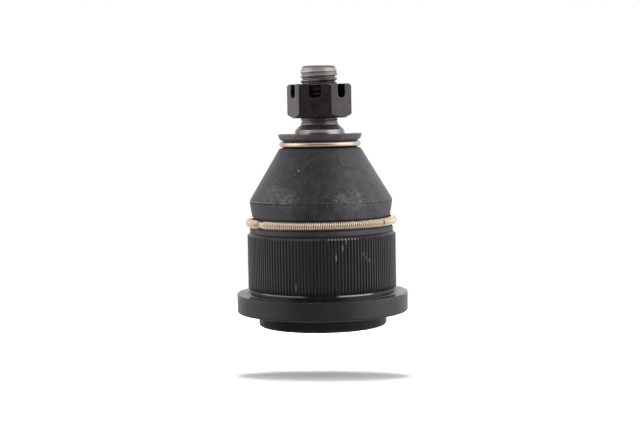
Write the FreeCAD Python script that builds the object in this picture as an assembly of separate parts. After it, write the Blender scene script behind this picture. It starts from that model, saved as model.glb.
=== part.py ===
import FreeCAD, Part

import math
import os

# Suspension ball joint of the kind that is pressed into a control arm, in millimetres.
# The origin is the middle of the underside, +Z runs up along the stud, and -Y is the front.

# Serrated body
BODY_RADIUS = 23.75
SERRATED_HEIGHT = 17.2
BODY_TOP_CHAMFER = 0.7
TOOTH_COUNT = 140
TOOTH_DEPTH = 0.42
TOOTH_TIP_WIDTH = 0.42
UNDERCUT_HEIGHT = 1.6
UNDERCUT_DEPTH = 0.6

# Flange under the body
FLANGE_RADIUS = 27.4
FLANGE_THICKNESS = 5.65
FLANGE_TOP_CHAMFER = 0.25
FLANGE_BOTTOM_CHAMFER = 0.5
FLANGE_GROOVE_WIDTH = 1.1
FLANGE_GROOVE_DEPTH = 0.35

# Rolled rim below the flange, which holds the cover plate
RIM_HEIGHT = 4.85
RIM_WALL = 2.6
RIM_LIP = 1.3
RIM_LIP_REACH = 2.5
RIM_EDGE_CHAMFER = 0.8
COVER_SHOULDER = 0.95

# Collar on top of the body, which the boot grips
COLLAR_HEIGHT = 5.7
COLLAR_RADIUS = 20.3
COLLAR_GROOVE_DEPTH = 0.7
COLLAR_LIP_HEIGHT = 1.0

# Ball, its bearings and what presses on them
BALL_RADIUS = 13.5
BALL_FLAT_RADIUS = 5.5
BALL_CLEARANCE = 0.05
SWING_LIMIT = 25.0
SWING_MARGIN = 1.5
MOUTH_CLEARANCE = 0.5
BEARING_WALL = 3.5
BEARING_SKIRT = 1.2
BEARING_CLEARANCE = 0.05
CUP_FLOOR = 2.2
CUP_HOLE_RADIUS = 6.0
CUP_CLEARANCE = 0.4
CUP_GAP = 1.5
COVER_THICKNESS = 1.8
COVER_DISH_RADIUS = 9.0
COVER_DISH_DEPTH = 0.45
SPRING_THICKNESS = 1.0
SPRING_RISE = 0.9
SPRING_BORE_RADIUS = 7.5
SPRING_RIM_CLEARANCE = 1.2
STACK_CLEARANCE = 0.05

# Stud above the ball
NECK_RADIUS = 7.0
NECK_FILLET = 1.2
NECK_LENGTH = 20.8
NECK_FLARE_LENGTH = 3.5
TAPER_SMALL_RADIUS = 8.0
TAPER_LENGTH = 17.9
TAPER_RATIO = 8.0
TAPER_EDGE = 0.7
TAPER_EDGE_LENGTH = 1.05
SHANK_FLARE_LENGTH = 1.45
SHANK_LENGTH = 2.1
THREAD_DIAMETER = 11.9
THREAD_LENGTH = 16.6
RUNOUT_DEPTH = 0.4
RUNOUT_WIDTH = 0.6
STUD_END_CHAMFER = 1.2
COTTER_HOLE_RADIUS = 1.6

# Slotted nut
NUT_ACROSS_FLATS = 18.0
NUT_HEIGHT = 10.8
NUT_BOTTOM_CHAMFER = 1.2
NUT_BOTTOM_REACH = 2.0
NUT_TOP_CHAMFER = 0.7
NUT_SLOT_WIDTH = 3.7
NUT_SLOT_DEPTH = 4.25
NUT_BORE_CHAMFER = 0.5
NUT_TURN = 7.9
THREAD_CLEARANCE = 0.05

# Dust boot
BOOT_CLEARANCE = 0.3
BOOT_FOOT_CLEARANCE = 0.1
BOOT_FOOT_RADIUS = 22.9
BOOT_FOOT_CHAMFER = 0.3
BOOT_WALL = 1.8
BOOT_WAIST_RADIUS = 22.0
BOOT_WAIST_HEIGHT = 6.7
BOOT_SHOULDER_RADIUS = 22.96
BOOT_SHOULDER_HEIGHT = 10.8
BOOT_SHOULDER_ROUND = 5.0
BOOT_NECK_RADIUS = 12.05
BOOT_NECK_EDGE = 0.9
BOOT_LIP_RADIUS = 13.4
BOOT_LIP_FLARE = 0.45
BOOT_LIP_HEIGHT = 1.5
BOOT_LIP_EDGE = 0.55
BOOT_LIP_DROP = 0.4
BOOT_CUP_DEPTH = 1.6
BOOT_CUP_SLOPE = 1.6
BOOT_COLLAR_LENGTH = 5.1

# Rings that hold the boot
TOP_RING_WIRE = 1.6
TOP_RING_PROUD = 0.15
TOP_RING_DROP = 3.4
GARTER_COIL = 2.6
GARTER_PROUD = 0.1
GARTER_HEIGHT = 4.1
RING_CLEARANCE = 0.1

# Heights that follow from the sizes above, measured from the underside
flange_top = RIM_HEIGHT + FLANGE_THICKNESS
teeth_bottom = flange_top + UNDERCUT_HEIGHT
body_top = teeth_bottom + SERRATED_HEIGHT
collar_top = body_top + COLLAR_HEIGHT
cover_top = RIM_LIP + STACK_CLEARANCE + COVER_THICKNESS
cavity_floor = cover_top + STACK_CLEARANCE
spring_bottom = cover_top + STACK_CLEARANCE
cup_bottom = spring_bottom + SPRING_THICKNESS + SPRING_RISE + STACK_CLEARANCE
cup_seat_radius = BALL_RADIUS + BALL_CLEARANCE
ball_height = cup_bottom + CUP_FLOOR + math.sqrt(cup_seat_radius**2 - CUP_HOLE_RADIUS**2)
neck_top = ball_height + NECK_LENGTH
taper_bottom = neck_top + NECK_FLARE_LENGTH
taper_top = taper_bottom + TAPER_LENGTH
shank_bottom = taper_top + TAPER_EDGE_LENGTH + SHANK_FLARE_LENGTH
thread_bottom = shank_bottom + SHANK_LENGTH
stud_top = thread_bottom + THREAD_LENGTH
nut_bottom = thread_bottom
nut_top = nut_bottom + NUT_HEIGHT
slot_centre = nut_top - NUT_SLOT_DEPTH + NUT_SLOT_WIDTH / 2
boot_foot = body_top + BOOT_FOOT_CLEARANCE
boot_top = taper_top - BOOT_LIP_DROP
top_ring_height = boot_top - TOP_RING_DROP
garter_height = body_top + GARTER_HEIGHT

# Radii that follow. Each ring's middle lies a little outside the rubber that it grips.
thread_radius = THREAD_DIAMETER / 2
top_ring_radius = BOOT_NECK_RADIUS + TOP_RING_PROUD
garter_radius = BOOT_FOOT_RADIUS + GARTER_PROUD
cavity_radius = BALL_RADIUS + BEARING_WALL
cover_radius = cavity_radius + COVER_SHOULDER
rim_radius = cover_radius + RIM_WALL
lip_radius = cover_radius - RIM_LIP_REACH
undercut_radius = BODY_RADIUS - UNDERCUT_DEPTH
collar_groove_radius = COLLAR_RADIUS - COLLAR_GROOVE_DEPTH
taper_bottom_radius = TAPER_SMALL_RADIUS + TAPER_LENGTH / TAPER_RATIO / 2
cotter_flat = math.radians(-90 - NUT_TURN + 60)

# The neck meets the ball in a fillet, and the bearing opens as far as the fillet swings
fillet_rise = math.sqrt((BALL_RADIUS + NECK_FILLET) ** 2 - (NECK_RADIUS + NECK_FILLET) ** 2)
fillet_angle = math.degrees(math.atan2(NECK_RADIUS + NECK_FILLET, fillet_rise))
opening_angle = math.radians(fillet_angle + SWING_LIMIT + SWING_MARGIN)
bearing_top = ball_height + BALL_RADIUS * math.cos(opening_angle)

# The mouth of the housing clears the ball at its lip and the swung neck at its top
throat_radius = BALL_RADIUS * math.sin(opening_angle) + MOUTH_CLEARANCE
swing = math.radians(SWING_LIMIT)
neck_reach = NECK_RADIUS / math.cos(swing) + (collar_top - ball_height) * math.tan(swing)
mouth_radius = neck_reach + MOUTH_CLEARANCE


def at(radius, height):
    """A point of an outline, in the XZ plane."""
    return FreeCAD.Vector(radius, 0, height)


def rounded(before, corner, after, radius):
    """A corner of an outline as the arc of this radius that is tangent to both of its sides."""
    back = (before - corner).normalize()
    ahead = (after - corner).normalize()
    half = back.getAngle(ahead) / 2
    reach = radius / math.tan(half)
    bisector = (back + ahead).normalize()
    centre = corner + bisector * (radius / math.sin(half))
    return corner + back * reach, (centre - bisector * radius, corner + ahead * reach)


def turned(*items):
    """The solid turned from a closed outline. A pair of points is an arc through the first to the second."""
    edges = []
    here = items[0]
    for item in items[1:]:
        if isinstance(item, tuple):
            middle, end = item
            edges.append(Part.Arc(here, middle, end).toShape())
        else:
            end = item
            edges.append(Part.LineSegment(here, end).toShape())
        here = end
    if here != items[0]:
        edges.append(Part.LineSegment(here, items[0]).toShape())
    face = Part.Face(Part.Wire(edges))
    return face.revolve(FreeCAD.Vector(0, 0, 0), FreeCAD.Vector(0, 0, 1), 360)


def on_sphere(radius, height):
    """The point on a sphere about the ball's centre at this height."""
    return at(math.sqrt(radius**2 - (height - ball_height) ** 2), height)


def halfway(radius, low, high):
    """The point on a sphere about the ball's centre midway in angle between two heights."""
    first = math.asin((low - ball_height) / radius)
    last = math.asin((high - ball_height) / radius)
    middle = (first + last) / 2
    return at(radius * math.cos(middle), ball_height + radius * math.sin(middle))


def save(name, shape):
    shape.exportStep("parts/" + name + ".step")


def serrated_ring():
    """The straight serrations: a ring of flat-tipped teeth with V grooves, chamfered on top."""
    pitch = 2 * math.pi / TOOTH_COUNT
    tip = TOOTH_TIP_WIDTH / BODY_RADIUS
    root_radius = BODY_RADIUS - TOOTH_DEPTH
    z_axis = FreeCAD.Vector(0, 0, 1)

    def polar(radius, angle):
        return FreeCAD.Vector(radius * math.cos(angle), radius * math.sin(angle), teeth_bottom)

    edges = []
    for tooth in range(TOOTH_COUNT):
        middle = tooth * pitch
        start = polar(BODY_RADIUS, middle - tip / 2)
        end = polar(BODY_RADIUS, middle + tip / 2)
        root = polar(root_radius, middle + pitch / 2)
        following = polar(BODY_RADIUS, middle + pitch - tip / 2)
        edges.append(Part.Arc(start, polar(BODY_RADIUS, middle), end).toShape())
        edges.append(Part.LineSegment(end, root).toShape())
        edges.append(Part.LineSegment(root, following).toShape())
    star = Part.Face(Part.Wire(edges)).extrude(z_axis * SERRATED_HEIGHT)
    envelope = turned(
        at(cavity_radius, teeth_bottom),
        at(BODY_RADIUS + TOOTH_DEPTH, teeth_bottom),
        at(BODY_RADIUS + TOOTH_DEPTH, body_top - BODY_TOP_CHAMFER + TOOTH_DEPTH),
        at(BODY_RADIUS - BODY_TOP_CHAMFER, body_top),
        at(cavity_radius, body_top),
    )
    return star.common(envelope)


def housing():
    """The one-piece steel body, from the rolled rim at the bottom to the collar at the top."""
    core_radius = BODY_RADIUS - TOOTH_DEPTH - BODY_TOP_CHAMFER
    groove_outer = undercut_radius + FLANGE_GROOVE_WIDTH
    groove_floor = flange_top - FLANGE_GROOVE_DEPTH
    lip_height = bearing_top + BEARING_CLEARANCE
    seat_radius = cavity_radius + BEARING_CLEARANCE
    blank = turned(
        at(lip_radius, 0),
        at(rim_radius - RIM_EDGE_CHAMFER, 0),
        at(rim_radius, RIM_EDGE_CHAMFER),
        at(rim_radius, RIM_HEIGHT),
        at(FLANGE_RADIUS - FLANGE_BOTTOM_CHAMFER, RIM_HEIGHT),
        at(FLANGE_RADIUS, RIM_HEIGHT + FLANGE_BOTTOM_CHAMFER),
        at(FLANGE_RADIUS, flange_top - FLANGE_TOP_CHAMFER),
        at(FLANGE_RADIUS - FLANGE_TOP_CHAMFER, flange_top),
        at(groove_outer, flange_top),
        at(groove_outer - FLANGE_GROOVE_DEPTH, groove_floor),
        at(undercut_radius, groove_floor),
        at(undercut_radius, teeth_bottom),
        at(core_radius, teeth_bottom),
        at(core_radius, body_top),
        at(collar_groove_radius, body_top),
        at(collar_groove_radius, collar_top - COLLAR_LIP_HEIGHT - COLLAR_GROOVE_DEPTH),
        at(COLLAR_RADIUS, collar_top - COLLAR_LIP_HEIGHT),
        at(COLLAR_RADIUS, collar_top),
        at(mouth_radius, collar_top),
        at(throat_radius, lip_height),
        on_sphere(seat_radius, lip_height),
        (halfway(seat_radius, ball_height, lip_height), at(seat_radius, ball_height)),
        at(seat_radius, cavity_floor),
        at(cover_radius + STACK_CLEARANCE, cavity_floor),
        at(cover_radius + STACK_CLEARANCE, RIM_LIP),
        at(lip_radius, RIM_LIP),
    )
    return blank.fuse(serrated_ring()).removeSplitter()


def upper_bearing():
    """The ring above the ball's middle. It fills the domed seat and takes the pull on the stud."""
    seat = BALL_RADIUS + BALL_CLEARANCE
    bottom = ball_height - BEARING_SKIRT
    return turned(
        on_sphere(seat, bottom),
        at(cavity_radius, bottom),
        at(cavity_radius, ball_height),
        (halfway(cavity_radius, ball_height, bearing_top), on_sphere(cavity_radius, bearing_top)),
        on_sphere(seat, bearing_top),
        (halfway(seat, bottom, bearing_top), on_sphere(seat, bottom)),
    )


def lower_bearing():
    """The cup below the ball. The disc spring pushes it up, so that the ball stays free of play."""
    top = ball_height - BEARING_SKIRT - CUP_GAP
    hole_top = on_sphere(cup_seat_radius, cup_bottom + CUP_FLOOR)
    outer = cavity_radius - CUP_CLEARANCE
    return turned(
        at(hole_top.x, cup_bottom),
        at(outer, cup_bottom),
        at(outer, top),
        on_sphere(cup_seat_radius, top),
        (halfway(cup_seat_radius, hole_top.z, top), hole_top),
    )


def preload_spring():
    """The disc spring: a shallow cone of spring steel, resting on its outer edge."""
    outer = cavity_radius - SPRING_RIM_CLEARANCE
    return turned(
        at(outer, spring_bottom),
        at(outer, spring_bottom + SPRING_THICKNESS),
        at(SPRING_BORE_RADIUS, spring_bottom + SPRING_THICKNESS + SPRING_RISE),
        at(SPRING_BORE_RADIUS, spring_bottom + SPRING_RISE),
    )


def cover_plate():
    """The end plate, with a shallow pressed dish, that the rim is rolled over."""
    bottom = cover_top - COVER_THICKNESS
    slope_end = COVER_DISH_RADIUS + COVER_DISH_DEPTH * 2
    return turned(
        at(0, bottom + COVER_DISH_DEPTH),
        at(COVER_DISH_RADIUS, bottom + COVER_DISH_DEPTH),
        at(slope_end, bottom),
        at(cover_radius, bottom),
        at(cover_radius, cover_top),
        at(slope_end, cover_top),
        at(COVER_DISH_RADIUS, cover_top + COVER_DISH_DEPTH),
        at(0, cover_top + COVER_DISH_DEPTH),
    )


def ball_stud():
    """The forged stud: ball, neck, tapered seat and threaded end, with the cross hole."""
    flat_height = ball_height - math.sqrt(BALL_RADIUS**2 - BALL_FLAT_RADIUS**2)
    fillet_centre = at(NECK_RADIUS + NECK_FILLET, ball_height + fillet_rise)
    ball_tangent = on_sphere(BALL_RADIUS, ball_height + BALL_RADIUS * math.cos(math.radians(fillet_angle)))
    side = math.radians((fillet_angle - 90) / 2)
    inward = at(-math.cos(side), math.sin(side))
    end_radius = thread_radius - STUD_END_CHAMFER
    runout_radius = thread_radius - RUNOUT_DEPTH
    runout_bottom = thread_bottom - RUNOUT_WIDTH * 2
    stud = turned(
        at(0, flat_height),
        at(BALL_FLAT_RADIUS, flat_height),
        (halfway(BALL_RADIUS, flat_height, ball_tangent.z), ball_tangent),
        (fillet_centre + inward * NECK_FILLET, at(NECK_RADIUS, fillet_centre.z)),
        at(NECK_RADIUS, neck_top),
        at(taper_bottom_radius, taper_bottom),
        at(TAPER_SMALL_RADIUS, taper_top),
        at(TAPER_SMALL_RADIUS - TAPER_EDGE, taper_top + TAPER_EDGE_LENGTH),
        at(thread_radius, shank_bottom),
        at(thread_radius, runout_bottom),
        at(runout_radius, runout_bottom),
        at(runout_radius, runout_bottom + RUNOUT_WIDTH),
        at(thread_radius, runout_bottom + RUNOUT_WIDTH),
        at(thread_radius, stud_top - STUD_END_CHAMFER),
        at(end_radius, stud_top),
        at(0, stud_top),
    )
    direction = FreeCAD.Vector(math.cos(cotter_flat), math.sin(cotter_flat), 0)
    start = FreeCAD.Vector(0, 0, slot_centre) - direction * THREAD_DIAMETER
    hole = Part.makeCylinder(COTTER_HOLE_RADIUS, 2 * THREAD_DIAMETER, start, direction)
    return stud.cut(hole)


def castle_nut():
    """The slotted nut: a chamfered hexagon with a round-floored slot in the middle of each flat."""
    corner_radius = NUT_ACROSS_FLATS / math.sqrt(3)
    first_corner = math.radians(-90 - NUT_TURN + 30)
    corners = []
    for side in range(7):
        angle = first_corner + math.radians(60 * side)
        x = corner_radius * math.cos(angle)
        y = corner_radius * math.sin(angle)
        corners.append(FreeCAD.Vector(x, y, nut_bottom))
    hexagon = Part.Face(Part.makePolygon(corners)).extrude(FreeCAD.Vector(0, 0, NUT_HEIGHT))
    bore = thread_radius + THREAD_CLEARANCE
    envelope = turned(
        at(bore + NUT_BORE_CHAMFER, nut_bottom),
        at(corner_radius - NUT_BOTTOM_REACH, nut_bottom),
        at(corner_radius, nut_bottom + NUT_BOTTOM_CHAMFER),
        at(corner_radius, nut_top - NUT_TOP_CHAMFER),
        at(corner_radius - NUT_TOP_CHAMFER, nut_top),
        at(bore + NUT_BORE_CHAMFER, nut_top),
        at(bore, nut_top - NUT_BORE_CHAMFER),
        at(bore, nut_bottom + NUT_BORE_CHAMFER),
    )
    nut = hexagon.common(envelope)
    half_slot = NUT_SLOT_WIDTH / 2
    for side in range(6):
        angle = -90 - NUT_TURN + 60 * side
        slot_start = FreeCAD.Vector(0, -half_slot, slot_centre)
        slot = Part.makeBox(corner_radius, NUT_SLOT_WIDTH, NUT_HEIGHT, slot_start)
        floor_start = FreeCAD.Vector(0, 0, slot_centre)
        floor = Part.makeCylinder(half_slot, corner_radius, floor_start, FreeCAD.Vector(1, 0, 0))
        cutter = slot.fuse(floor)
        cutter.rotate(FreeCAD.Vector(0, 0, 0), FreeCAD.Vector(0, 0, 1), angle)
        nut = nut.cut(cutter)
    return nut


def groove(ring_radius, ring_height, wire_radius, below_radius, above_radius):
    """The corners of the groove that a ring lies in: a flat floor between two sides at 45 degrees."""
    half_floor = wire_radius * math.tan(math.pi / 8)
    floor = ring_radius - wire_radius
    return (
        at(below_radius, ring_height - half_floor - (below_radius - floor)),
        at(floor, ring_height - half_floor),
        at(floor, ring_height + half_floor),
        at(above_radius, ring_height + half_floor + above_radius - floor),
    )


def taper_radius(height):
    return TAPER_SMALL_RADIUS + (taper_top - height) / TAPER_RATIO / 2


def dust_boot():
    """The hollow rubber boot: foot on the body, round shoulder, cone, thick neck and flared lip."""
    coil = GARTER_COIL / 2 + RING_CLEARANCE
    wire = TOP_RING_WIRE / 2 + RING_CLEARANCE
    waist = at(BOOT_WAIST_RADIUS, body_top + BOOT_WAIST_HEIGHT)
    shoulder = at(BOOT_SHOULDER_RADIUS, body_top + BOOT_SHOULDER_HEIGHT)
    foot_groove = groove(garter_radius, garter_height, coil, BOOT_FOOT_RADIUS, BOOT_WAIST_RADIUS)
    neck_groove = groove(top_ring_radius, top_ring_height, wire, BOOT_NECK_RADIUS, BOOT_NECK_RADIUS)
    cone_top = at(BOOT_NECK_RADIUS + BOOT_NECK_EDGE, neck_groove[0].z)
    along = (cone_top - shoulder).normalize()
    inward = at(-along.z, along.x) * BOOT_WALL
    lip = at(BOOT_LIP_RADIUS, boot_top)
    lip_inside = at(BOOT_LIP_RADIUS - BOOT_LIP_EDGE, boot_top)
    cup_floor = boot_top - BOOT_CUP_DEPTH
    neck_bottom = boot_top - BOOT_COLLAR_LENGTH
    bore_top = at(taper_radius(cup_floor) + BOOT_CLEARANCE, cup_floor)
    bore_bottom = at(taper_radius(neck_bottom) + BOOT_CLEARANCE, neck_bottom)
    cone_share = (neck_bottom - shoulder.z - inward.z) / (cone_top.z - shoulder.z)
    inner_cone_top = shoulder + inward + (cone_top - shoulder) * cone_share
    bead = at(collar_groove_radius + BOOT_CLEARANCE, boot_foot)
    bead_top = collar_top - COLLAR_LIP_HEIGHT - COLLAR_GROOVE_DEPTH - BOOT_CLEARANCE
    over_lip = COLLAR_RADIUS + BOOT_CLEARANCE
    lip_clear = at(over_lip, collar_top + BOOT_CLEARANCE)
    return turned(
        bead,
        at(BOOT_FOOT_RADIUS - BOOT_FOOT_CHAMFER, boot_foot),
        at(BOOT_FOOT_RADIUS, boot_foot + BOOT_FOOT_CHAMFER),
        *foot_groove,
        waist,
        *rounded(waist, shoulder, cone_top, BOOT_SHOULDER_ROUND),
        cone_top,
        *neck_groove,
        at(BOOT_LIP_RADIUS - BOOT_LIP_FLARE, boot_top - BOOT_LIP_HEIGHT),
        lip,
        lip_inside,
        at(bore_top.x + BOOT_CUP_SLOPE, cup_floor + BOOT_CUP_SLOPE / 2),
        bore_top,
        bore_bottom,
        inner_cone_top,
        shoulder + inward,
        lip_clear,
        at(over_lip, bead_top + COLLAR_GROOVE_DEPTH),
        at(bead.x, bead_top),
    )


def wire_ring(ring_radius, wire, height):
    """A closed round ring about the stud's axis."""
    return Part.makeTorus(ring_radius, wire / 2, FreeCAD.Vector(0, 0, height), FreeCAD.Vector(0, 0, 1))


os.makedirs("parts", exist_ok=True)
save("housing", housing())
save("upper_bearing", upper_bearing())
save("lower_bearing", lower_bearing())
save("preload_spring", preload_spring())
save("cover_plate", cover_plate())
save("ball_stud", ball_stud())
save("castle_nut", castle_nut())
save("dust_boot", dust_boot())
save("boot_top_ring", wire_ring(top_ring_radius, TOP_RING_WIRE, top_ring_height))
save("boot_garter_spring", wire_ring(garter_radius, GARTER_COIL, garter_height))
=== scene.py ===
import math

import bmesh
import bpy
import numpy as np
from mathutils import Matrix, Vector


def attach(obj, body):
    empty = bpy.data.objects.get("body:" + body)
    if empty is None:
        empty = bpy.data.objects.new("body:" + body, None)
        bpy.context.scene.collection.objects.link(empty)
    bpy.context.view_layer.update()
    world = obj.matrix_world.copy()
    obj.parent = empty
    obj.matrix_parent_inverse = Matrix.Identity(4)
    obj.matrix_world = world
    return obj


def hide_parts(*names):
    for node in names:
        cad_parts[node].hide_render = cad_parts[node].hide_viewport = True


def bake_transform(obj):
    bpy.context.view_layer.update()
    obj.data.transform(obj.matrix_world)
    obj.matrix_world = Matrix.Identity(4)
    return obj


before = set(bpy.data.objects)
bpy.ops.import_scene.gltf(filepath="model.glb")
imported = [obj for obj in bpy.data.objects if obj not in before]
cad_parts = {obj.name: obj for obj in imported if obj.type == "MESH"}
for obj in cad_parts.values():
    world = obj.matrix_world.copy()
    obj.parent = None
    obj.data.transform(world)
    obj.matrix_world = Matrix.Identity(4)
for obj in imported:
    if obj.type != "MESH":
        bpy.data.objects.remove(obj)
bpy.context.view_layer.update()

# Housing. One piece of steel, forged, turned all over and given a black coat. Its band of straight
# serrations is pressed into the control arm up to the flange, and its lower rim is rolled inwards
# over the end plate once the ball and its bearings are in.
mm = 0.001
teeth = 140
tooth_tip_radius = 23.75
tooth_depth = 0.42
teeth_bottom = 12.1
body_top = 30.1
flange_bottom = 4.5
flange_top = 10.5


def outline(corners, closed=True, steps=6, beside=0.07):
    """The points of an outline, each with how far it stands on a corner, from 0 to 1.

    A corner is (radius, height, cut). Between A and B, which lie the cut before and after the corner C,
    the outline follows the parabola (1-s)^2 A + 2s(1-s) C + s^2 B. A further point on each side keeps
    the flats flat. An open outline keeps its first and last corners as single points."""
    corners = np.array(corners, float)
    corner, cut = corners[:, :2], corners[:, 2:]
    ahead = np.roll(corner, -1, 0) - corner
    length = np.linalg.norm(ahead, axis=1, keepdims=True)
    ahead = ahead / length
    back = -np.roll(ahead, 1, 0)
    gap = np.minimum(beside, 0.4 * (length - cut - np.roll(cut, -1, 0)))
    first = corner + back * cut
    last = corner + ahead * cut
    s = np.linspace(0, 1, steps).reshape(-1, 1, 1)
    curve = (1 - s) ** 2 * first + 2 * s * (1 - s) * corner + s**2 * last
    before = first + back * np.roll(gap, 1, 0)
    after = last + ahead * gap
    points = np.concatenate([before[None], curve, after[None]]).transpose(1, 0, 2)
    share = np.concatenate([[0], 0.35 + 2.6 * (s * (1 - s)).ravel(), [0]])
    worn = np.tile(share, (len(corner), 1))
    if closed:
        return points.reshape(-1, 2), worn.ravel()
    inside = points[1:-1].reshape(-1, 2)
    points = np.concatenate([corner[:1], inside, corner[-1:]])
    return points, np.concatenate([[0], worn[1:-1].ravel(), [0]])


def turned(points, columns=224):
    """A surface of revolution: every point (radius, height) goes round the axis as
    (radius cos a, radius sin a, height), with the angle a in equal steps."""
    angle = np.arange(columns) * (2 * np.pi / columns)
    radius, height = points[:, :1], points[:, 1:]
    return np.stack([radius * np.cos(angle), radius * np.sin(angle), height + 0 * angle], -1)


def piece(name, body, slot, *sheets, stands_for=None):
    """One object of sheets of points. A sheet is (grid, worn, closed): rows by columns of points in
    millimetres, whose columns meet round the axis, the mask of its edges, and whether its last row
    joins its first. Rows that shrink to one point are merged to a pole."""
    points, worn, quads, used = [], [], [], 0
    for grid, edge, closed in sheets:
        rows, columns = grid.shape[:2]
        number = used + np.arange(rows * columns).reshape(rows, columns)
        upper = np.roll(number, -1, 0)
        lower = number
        if not closed:
            lower, upper = number[:-1], upper[:-1]
        corners = [lower, np.roll(lower, -1, 1), np.roll(upper, -1, 1), upper]
        quads.append(np.stack(corners, -1).reshape(-1, 4))
        points.append(grid.reshape(-1, 3))
        worn.append(np.broadcast_to(edge, (rows, columns)).ravel())
        used += rows * columns
    points, worn, quads = np.concatenate(points), np.concatenate(worn), np.concatenate(quads)
    mesh = bpy.data.meshes.new(name)
    mesh.vertices.add(len(points))
    mesh.vertices.foreach_set("co", (points * mm).astype(np.float32).ravel())
    mesh.loops.add(quads.size)
    mesh.loops.foreach_set("vertex_index", quads.astype(np.int32).ravel())
    mesh.polygons.add(len(quads))
    mesh.polygons.foreach_set("loop_start", np.arange(0, quads.size, 4, dtype=np.int32))
    mesh.polygons.foreach_set("use_smooth", np.ones(len(quads), bool))
    mesh.update(calc_edges=True)
    mesh.attributes.new("edge", "FLOAT", "POINT").data.foreach_set("value", worn.astype(np.float32))
    merged = bmesh.new()
    merged.from_mesh(mesh)
    bmesh.ops.remove_doubles(merged, verts=merged.verts, dist=2e-8)
    merged.to_mesh(mesh)
    merged.free()
    made = bpy.data.objects.new(name, mesh)
    bpy.context.scene.collection.objects.link(made)
    if body:
        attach(made, body)
    if stands_for:
        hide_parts(stands_for)
    return made


def serrated_band():
    """The ring of teeth. Round the axis the radius falls from each flat tip to a V root as a straight
    line over the share of the pitch. Up the axis it is cut back by a small edge below and by the
    45 degree chamfer above, where the height is the one at which the chamfer meets that radius."""
    share = np.array([-0.205, -0.185, 0.0, 0.185, 0.205, 0.35, 0.49, 0.51, 0.65])
    fall = np.clip((np.abs(share) - 0.195) / 0.3, 0, 1)
    fall = np.where(share > 0.5, np.clip((1 - share - 0.195) / 0.3, 0, 1), fall)
    angle = ((np.arange(teeth)[:, None] + share) * (2 * np.pi / teeth)).ravel()
    radius = np.tile(tooth_tip_radius - tooth_depth * fall, teeth)
    tip = np.tile(1 - fall, teeth)
    core, chamfer = 22.6, 22.85
    straight = np.linspace(teeth_bottom + 0.16, body_top - 0.95, 9)
    rows = [(core + 0 * radius, teeth_bottom + 0 * radius, 0 * tip)]
    rows.append((radius - 0.12, teeth_bottom + 0 * radius, 0.6 * tip))
    rows += [(radius, height + 0 * radius, tip * 0.8) for height in straight]
    meets = body_top - (radius - chamfer)
    rows.append((radius, meets, tip))
    rows.append((radius - 0.05, meets + 0.05, tip))
    rows.append((chamfer + 0.04 + 0 * radius, body_top - 0.04 + 0 * radius, 0.4 + 0 * tip))
    rows.append((chamfer - 0.03 + 0 * radius, body_top + 0 * radius, 0.3 + 0 * tip))
    rows.append((core + 0 * radius, body_top + 0 * radius, 0 * tip))
    radius = np.array([row[0] for row in rows])
    height = np.array([row[1] for row in rows])
    grid = np.stack([radius * np.cos(angle), radius * np.sin(angle), height], -1)
    return grid, np.array([row[2] for row in rows]), True


housing_points, housing_worn = outline([
    (15.45, 0.0, 0.3), (20.55, 0.0, 1.0), (20.55, flange_bottom, 0.2), (27.4, flange_bottom, 0.6),
    (27.4, flange_top, 0.28), (24.3, flange_top, 0.12), (23.9, 10.1, 0.12), (23.15, 10.1, 0.42),
    (23.15, 12.25, 0.05),
    (22.63, 12.25, 0.05), (22.63, 30.07, 0.03), (19.6, 30.07, 0.1), (19.6, 33.3, 0.15),
    (20.3, 34.0, 0.15), (20.3, 35.0, 0.3), (15.45, 35.0, 0.3), (12.24, 26.22, 0.1),
    (15.67, 26.22, 0.1), (16.17, 24.9, 0.6), (16.83, 22.2, 0.8), (17.05, 19.5, 0.6),
    (17.05, 3.2, 0.05), (18.0, 3.2, 0.05), (18.0, 1.3, 0.05), (15.45, 1.3, 0.2),
])
housing = piece(
    "housing_body", "housing", "body_black", (turned(housing_points), housing_worn[:, None], True),
    serrated_band(), stands_for="housing",
)


def lay(tree, kind, sockets=(), **settings):
    """Adds a shader node. sockets gives its inputs, by name or number, each as a value or as the output
    that feeds it."""
    node = tree.nodes.new("ShaderNode" + kind)
    for name, value in settings.items():
        setattr(node, name, value)
    for name, value in dict(sockets).items():
        if isinstance(value, bpy.types.NodeSocket):
            tree.links.new(value, node.inputs[name])
        else:
            node.inputs[name].default_value = value
    return node


def reckon(tree, operation, *values):
    """The output of a Math node."""
    return lay(tree, "Math", dict(enumerate(values)), operation=operation).outputs[0]


def times(tree, value, *others):
    """The values multiplied together."""
    for other in others:
        value = reckon(tree, "MULTIPLY", value, other)
    return value


def plus(tree, value, *others):
    """The values added together."""
    for other in others:
        value = reckon(tree, "ADD", value, other)
    return value


def most(tree, value, *others):
    """The greatest of the values."""
    for other in others:
        value = reckon(tree, "MAXIMUM", value, other)
    return value


def off(tree, value, middle):
    """How far the value is from its middle."""
    return reckon(tree, "ABSOLUTE", reckon(tree, "SUBTRACT", value, middle))


def ramp(tree, value, low, high, start=0.0, end=1.0):
    """A smooth step from start to end, while the value goes from low to high."""
    sockets = {"Value": value, 1: low, 2: high, 3: start, 4: end}
    return lay(tree, "MapRange", sockets, interpolation_type="SMOOTHSTEP").outputs[0]


def band(tree, value, middle, half):
    """A soft-edged stripe, 1 within half of its middle value."""
    return ramp(tree, off(tree, value, middle), half * 0.6, half, 1.0, 0.0)


def mixed(tree, share, first, second):
    """The first colour where share is 0, and the second where it is 1."""
    node = lay(tree, "Mix", {0: share, 6: first, 7: second}, data_type="RGBA")
    return node.outputs[2]


def noise(tree, place, scale, detail=3.0, roughness=0.55):
    sockets = {"Vector": place, "Scale": scale, "Detail": detail, "Roughness": roughness}
    return lay(tree, "TexNoise", sockets).outputs[0]


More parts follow.
